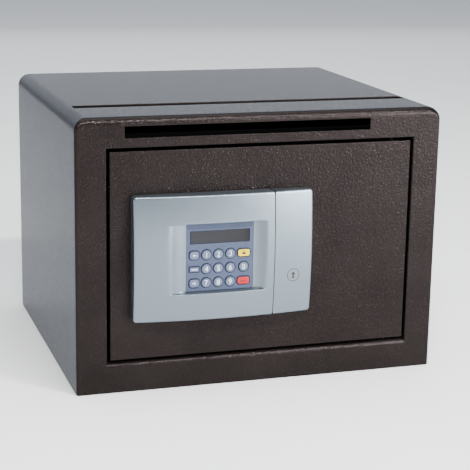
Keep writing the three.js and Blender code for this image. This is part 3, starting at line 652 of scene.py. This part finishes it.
def crowned_shell(left, right, height, xs, zs, hole=None):
    """A crowned cap with rounded edges: left and right give the corner run and the edge radius
    on those sides. Returns its bmesh, open at the back."""
    bm = bmesh.new()
    grid = {}
    for i, x in enumerate(xs):
        for j, z in enumerate(zs):
            grid[i, j] = bm.verts.new(at(x, -height(x, z), z))
    for i in range(len(xs) - 1):
        for j in range(len(zs) - 1):
            cx, cz = (xs[i] + xs[i + 1]) / 2, (zs[j] + zs[j + 1]) / 2
            if hole and hole[0] < cx < hole[1] and hole[2] < cz < hole[3]:
                continue
            bm.faces.new((grid[i, j], grid[i + 1, j], grid[i + 1, j + 1], grid[i, j + 1]))
    # Walk round the border: (grid vertex, direction out of it).
    last_i, last_j = len(xs) - 1, len(zs) - 1
    corner_steps = 8
    walk = []

    def corner(key, start):
        for step in range(corner_steps + 1):
            angle = start + math.pi / 2 * step / corner_steps
            walk.append((key, math.cos(angle), math.sin(angle)))

    corner((0, 0), math.pi)
    walk += [((i, 0), 0.0, -1.0) for i in range(1, last_i)]
    corner((last_i, 0), -math.pi / 2)
    walk += [((last_i, j), 1.0, 0.0) for j in range(1, last_j)]
    corner((last_i, last_j), 0)
    walk += [((i, last_j), 0.0, 1.0) for i in range(last_i - 1, 0, -1)]
    corner((0, last_j), math.pi / 2)
    walk += [((0, j), -1.0, 0.0) for j in range(last_j - 1, 0, -1)]

    def ring(distance, wall=None):
        made = []
        for (i, j), nx, nz in walk:
            run_x, edge_x = left if nx < 0 else right
            far = 1 - distance
            x = xs[i] + nx * run_x * far
            z = zs[j] + nz * END_RUN * far
            edge = edge_x * nx * nx + END_EDGE * nz * nz
            run = run_x * nx * nx + END_RUN * nz * nz
            inwards = min(distance * run / edge, 1)
            drop = edge * (1 - math.sqrt(max(0, 1 - (1 - inwards) ** 2)))
            h = wall if wall is not None else height(x, z) - drop
            made.append(bm.verts.new(at(x, -h, z)))
        return made

    rings = [ring(d) for d in (0.54, 0.4, 0.28, 0.18, 0.1, 0.045, 0.012, 0.0)]
    rings.append(ring(0.0, wall=JOIN))
    for k, (key, _, _) in enumerate(walk):
        n = (k + 1) % len(walk)
        a, b = grid[key], grid[walk[n][0]]
        p, q = rings[0][k], rings[0][n]
        bm.faces.new((a, p, q, b) if a is not b else (a, p, q))
        for inner, outer in zip(rings, rings[1:]):
            bm.faces.new((inner[k], outer[k], outer[n], inner[n]))
    bmesh.ops.recalc_face_normals(bm, faces=bm.faces[:])
    if max(bm.faces, key=lambda g: g.calc_area()).normal.y > 0:
        bmesh.ops.reverse_faces(bm, faces=bm.faces[:])
    return bm


def flat_plate(bm, x0, x1, z0, z1, d0, d1, hole_x, hole_z, radius, steps=32):
    """Adds a plate with one round hole."""
    outline = [bm.verts.new(at(x, d0, z)) for x, z in ((x0, z0), (x1, z0), (x1, z1), (x0, z1))]
    circle = [bm.verts.new(at(hole_x + radius * math.cos(math.tau * s / steps), d0,
                              hole_z + radius * math.sin(math.tau * s / steps))) for s in range(steps)]
    edges = [bm.edges.new((loop[s], loop[(s + 1) % len(loop)]))
             for loop in (outline, circle) for s in range(len(loop))]
    made = bmesh.ops.triangle_fill(bm, edges=edges, use_beauty=True, use_dissolve=False)["geom"]
    front = [g for g in made if isinstance(g, bmesh.types.BMFace)]
    extruded = bmesh.ops.extrude_face_region(bm, geom=front)["geom"]
    bmesh.ops.translate(bm, vec=Vector((0, (d1 - d0) * MM, 0)),
                        verts=[g for g in extruded if isinstance(g, bmesh.types.BMVert)])


def lock_casing():
    x0, x1 = CASE_LO.x, SEAM_X
    steps = (LEDGE, 0.8, 0.5, 0.3, 0.14, 0.05, 0)
    ledge = [PLATE_LO.z - o for o in steps] + [PLATE_HI.z + o for o in reversed(steps)]
    xs = lines(x0 + SIDE_EDGE[0], x1 - SEAM_EDGE[0], 1.4, (PLATE_LO.x, PLATE_HI.x))
    zs = lines(CASE_LO.z + END_RUN, CASE_HI.z - END_RUN, 2.0)
    zs = sorted([z for z in zs if all(abs(z - k) > 0.9 for k in ledge)] + ledge)
    hole = (PLATE_LO.x, PLATE_HI.x, PLATE_LO.z, PLATE_HI.z)
    bm = crowned_shell(SIDE_EDGE, SEAM_EDGE, face_height, xs, zs, hole)

    def on_hole(e):
        m = (e.verts[0].co + e.verts[1].co) / 2 / MM
        return (e.is_boundary and hole[0] - 0.01 < m.x < hole[1] + 0.01
                and hole[2] - 0.01 < m.z < hole[3] + 0.01)

    seat = PLATE_STAND - 2.3
    rim = pull(bm, edges_where(bm, on_hole), lambda co: at(co.x / MM, -seat, co.z / MM))
    cx, cz = (hole[0] + hole[1]) / 2, (hole[2] + hole[3]) / 2

    def inwards(co):
        x, z = co.x / MM, co.z / MM
        sx = (hole[1] - hole[0] - 3) / (hole[1] - hole[0])
        sz = (hole[3] - hole[2] - 3) / (hole[3] - hole[2])
        return at(cx + (x - cx) * sx, -seat, cz + (z - cz) * sz)

    rim = pull(bm, rim, inwards)
    pull(bm, rim, lambda co: at(co.x / MM, -(seat - 2), co.z / MM))
    lo, hi = box("lock_cylinder")
    flat_plate(bm, x1 - 0.5, CASE_HI.x - 2.4, CASE_LO.z + 2.4, CASE_HI.z - 2.4, -JOIN - 2, -JOIN,
               (lo.x + hi.x) / 2, (lo.z + hi.z) / 2, 9.4)
    piece = piece_of("lock_casing_piece", bm, ["silver_plastic"], "door",
                     ("lock_casing",))
    flats = piece.modifiers.new("flats", "WEIGHTED_NORMAL")
    flats.keep_sharp = True
    sharpen(piece, 50)


def sharpen(piece, angle):
    """Marks the edges that turn by more than the angle as sharp."""
    bm = bmesh.new()
    bm.from_mesh(piece.data)
    limit = math.radians(angle)
    for e in bm.edges:
        if len(e.link_faces) == 2 and e.calc_face_angle(0) > limit:
            e.smooth = False
    bm.to_mesh(piece.data)
    bm.free()


def pull_off_cover():
    xs = lines(PULL_X0 + SEAM_EDGE[0], CASE_HI.x - SIDE_EDGE[0], 1.7)
    zs = lines(CASE_LO.z + END_RUN, CASE_HI.z - END_RUN, 2.5)
    bm = crowned_shell(SEAM_EDGE, SIDE_EDGE, crown, xs, zs)
    piece = piece_of("pull_off_cover_piece", bm, ["silver_plastic"], "pull_off_cover",
                     ("pull_off_cover",))
    thick = piece.modifiers.new("wall", "SOLIDIFY")
    thick.thickness = 2 * MM
    thick.offset = -1
    thick.use_quality_normals = True
    flats = piece.modifiers.new("flats", "WEIGHTED_NORMAL")
    flats.keep_sharp = True


lock_casing()
pull_off_cover()


def keyhole_mark():
    """A plain printed keyhole in a ring on the pull-off cover, over the emergency lock."""
    x0, z0, steps = (PULL_X0 + CASE_HI.x) / 2, CASE_LO.z + 37, 40
    bm = bmesh.new()

    def spot(x, z):
        return bm.verts.new(at(x0 + x, -crown(x0 + x, z0 + z) - 0.03, z0 + z))

    angles = [math.tau * s / steps for s in range(steps)]
    rings = [[spot(r * math.cos(a), r * math.sin(a)) for a in angles] for r in (5.6, 6.2)]
    for s in range(steps):
        n = (s + 1) % steps
        bm.faces.new((rings[0][s], rings[1][s], rings[1][n], rings[0][n]))
    open_angle = 0.42
    hole = [(1.7 * math.cos(a), 1.2 + 1.7 * math.sin(a)) for a in
            (-math.pi / 2 + open_angle + (math.tau - 2 * open_angle) * s / 20 for s in range(21))]
    bm.faces.new([spot(x, z) for x, z in hole + [(-1.5, -3.2), (1.5, -3.2)]])
    bmesh.ops.recalc_face_normals(bm, faces=bm.faces[:])
    for face in bm.faces:
        if face.normal.y > 0:
            face.normal_flip()
    piece_of("keyhole_mark", bm, ["dark_mark"], "pull_off_cover")


keyhole_mark()


# ---- Keys ---------------------------------------------------------------------------------
def outline_of(width, height, radius, steps=8):
    points = []
    for sx, sz, start in ((1, -1, -math.pi / 2), (1, 1, 0), (-1, 1, math.pi / 2), (-1, -1, math.pi)):
        for step in range(steps + 1):
            angle = start + math.pi / 2 * step / steps
            point = (sx * (width / 2 - radius) + radius * math.cos(angle),
                     sz * (height / 2 - radius) + radius * math.sin(angle))
            if not points or math.dist(point, points[-1]) > 1e-4:
                points.append(point)
    if math.dist(points[0], points[-1]) < 1e-4:
        points.pop()
    return points


def mark_of(text, size, x, z, stand):
    """Mesh of one digit, facing the front."""
    curve = bpy.data.curves.new("mark", "FONT")
    curve.body = text
    curve.size = size * MM
    curve.align_x = "CENTER"
    curve.align_y = "CENTER"
    curve.resolution_u = 4
    thing = bpy.data.objects.new("mark", curve)
    mesh = bpy.data.meshes.new_from_object(thing)
    bpy.data.objects.remove(thing)
    xs = [v.co.x for v in mesh.vertices]
    ys = [v.co.y for v in mesh.vertices]
    shift = Matrix.Translation((-(min(xs) + max(xs)) / 2, -(min(ys) + max(ys)) / 2, 0))
    mesh.transform(Matrix.Translation(at(x, -stand, z)) @ Matrix.Rotation(math.pi / 2, 4, "X") @ shift)
    return mesh


def bars(bm, shapes, x, z, stand, index):
    """Flat printed shapes: each is a list of (x, z) points."""
    for shape in shapes:
        face = bm.faces.new([bm.verts.new(at(x + px, -stand, z + pz)) for px, pz in shape])
        face.normal_update()
        if face.normal.y > 0:
            face.normal_flip()
        face.material_index = index


def rect(x0, x1, z0, z1):
    return [(x0, z0), (x1, z0), (x1, z1), (x0, z1)]


SYMBOLS = {
    "key_function_top": [[(-1.6, 0), (-0.2, -1.4), (-0.2, 1.4)], rect(-0.1, 1.9, -0.35, 0.35)],
    "key_function_middle": [rect(-2.6, -1.3, -0.5, 0.5), rect(-0.7, 0.7, -0.5, 0.5),
                            rect(1.3, 2.6, -0.5, 0.5)],
    "key_function_bottom": [[(1.6, 0), (0.2, 1.4), (0.2, -1.4)], rect(-1.9, 0.1, -0.35, 0.35)],
    "key_yellow": [rect(-1.7, 1.7, -1.5, 0.4), rect(-1.2, -0.75, 0.4, 1.4), rect(0.75, 1.2, 0.4, 1.4),
                   rect(-1.2, 1.2, 1.4, 1.8)],
    "key_red": [[(-2.6, -0.4), (-1.1, -1.8), (-1.1, 1.0)], rect(-1.1, 2.4, -0.7, -0.1),
                rect(1.8, 2.4, -0.1, 1.6)],
}


def key_piece(node):
    lo, hi = box(node)
    width, height = hi.x - lo.x, hi.z - lo.z
    x, z = (lo.x + hi.x) / 2, (lo.z + hi.z) / 2
    top, rear = FRONT - lo.y, FRONT - hi.y
    colour = {"key_yellow": "key_yellow", "key_red": "key_red"}.get(node, "key_blue")
    middle = node == "key_function_middle"
    round_key = abs(width - height) < 0.01
    radius = width / 2 - 1e-3 if round_key else 0.5 if middle else 2.6 if colour != "key_blue" else 3.0
    bm = bmesh.new()
    profile = [(0, rear), (0, top - 0.42), (0.05, top - 0.2), (0.16, top - 0.06), (0.3, top), (0.66, top),
               (0.72, top - 0.02), (0.8, top + 0.04), (1.0, top + 0.09), (1.3, top + 0.11)]
    rings = []
    for inset, level in profile:
        corner = max(radius - inset, 0.12)
        rings.append([bm.verts.new(at(x + px, -level, z + pz)) for px, pz in
                      outline_of(width - 2 * inset, height - 2 * inset, corner)])
    for k, (a, b) in enumerate(zip(rings, rings[1:])):
        for i in range(len(a)):
            n = (i + 1) % len(a)
            face = bm.faces.new((a[i], a[n], b[n], b[i]))
            # The side and the outer band of the top get the second slot, a dark colour: painted shade for
            # the gap round the key.
            face.material_index = 1 if k < 5 else 0
    bm.faces.new(rings[0]).material_index = 1
    bm.faces.new(rings[-1]).material_index = 0
    bmesh.ops.recalc_face_normals(bm, faces=bm.faces[:])
    digit = node[4:] if node[4:].isdigit() else None
    if digit:
        mesh = mark_of(digit, 6.8, x, z, top + 0.135)
        before = set(bm.faces)
        bm.from_mesh(mesh)
        for face in set(bm.faces) - before:
            face.material_index = 2
        bpy.data.meshes.remove(mesh)
    else:
        bars(bm, SYMBOLS[node], x, z, top + 0.135, 2)
    mark = "key_mark" if colour == "key_blue" else "dark_mark"
    return piece_of(node + "_piece", bm, [colour, "key_painted_shade", mark], node, (node,))


for node in [n for n in NODES if n.startswith("key_")]:
    key_piece(node)


# ---- Floor and light ----------------------------------------------------------------------
def studio():
    bm = bmesh.new()
    bmesh.ops.create_grid(bm, x_segments=1, y_segments=1, size=14)
    mesh = bpy.data.meshes.new("floor")
    bm.to_mesh(mesh)
    bm.free()
    floor = bpy.data.objects.new("floor", mesh)
    floor.location.z = -0.0004
    pale = Finish("floor", (0.9, 0.9, 0.9, 1), 0.85)
    pale.paint(pale.ramp(pale.noise(6, 3), (0.3, (0.89, 0.89, 0.89, 1)), (0.7, (0.91, 0.91, 0.91, 1))))
    mesh.materials.append(pale.material)
    bpy.context.scene.collection.objects.link(floor)

    world = bpy.data.worlds.new("studio")
    bpy.context.scene.world = world
    world.use_nodes = True
    tree = world.node_tree
    background = tree.nodes["Background"]
    place = tree.nodes.new("ShaderNodeTexCoord").outputs["Generated"]
    along = tree.nodes.new("ShaderNodeVectorMath")
    along.operation = "DOT_PRODUCT"
    along.inputs[1].default_value = Vector((0.42, 0.85, 0.3)).normalized()
    tree.links.new(place, along.inputs[0])
    turn = tree.nodes.new("ShaderNodeMapRange")
    turn.inputs[1].default_value = -1
    tree.links.new(along.outputs["Value"], turn.inputs[0])
    ramp = tree.nodes.new("ShaderNodeValToRGB")
    ramp.color_ramp.elements[0].position = 0.12
    ramp.color_ramp.elements[0].color = (0.16, 0.165, 0.17, 1)
    ramp.color_ramp.elements[1].position = 0.8
    ramp.color_ramp.elements[1].color = (0.88, 0.96, 1.06, 1)
    tree.links.new(turn.outputs[0], ramp.inputs["Fac"])
    tree.links.new(ramp.outputs["Color"], background.inputs["Color"])
    background.inputs["Strength"].default_value = 0.68

    def softbox(name, place, look, width, height, power):
        lamp = bpy.data.lights.new(name, "AREA")
        lamp.shape = "RECTANGLE"
        lamp.size, lamp.size_y = width, height
        lamp.energy = power
        thing = bpy.data.objects.new(name, lamp)
        thing.location = place
        thing.rotation_mode = "QUATERNION"
        thing.rotation_quaternion = (Vector(look) - Vector(place)).to_track_quat("-Z", "Y")
        bpy.context.scene.collection.objects.link(thing)

    softbox("top_light", (0.0, 0.3, 2.4), (0, 0, 0.1), 2.4, 1.6, 44)
    softbox("front_strip", (0.1, -1.75, 1.85), (0, -0.14, 0.2), 2.6, 0.12, 140)
    softbox("low_box", (1.3, -1.75, 0.45), (0.1, -0.14, 0.14), 0.6, 0.5, 46)
    softbox("key_light", (1.2, -1.85, 0.8), (0.1, -0.14, 0.2), 0.4, 0.3, 44)
    softbox("left_light", (-2.4, 0.9, 1.0), (0, 0, 0.12), 2.0, 1.8, 0.8)
    softbox("side_light", (-2.0, -0.7, 0.4), (0, -0.14, 0.14), 0.7, 0.7, 9)
    softbox("rear_light", (0.3, 2.8, 1.1), (0, 0, 0.2), 3.4, 1.6, 12)


studio()
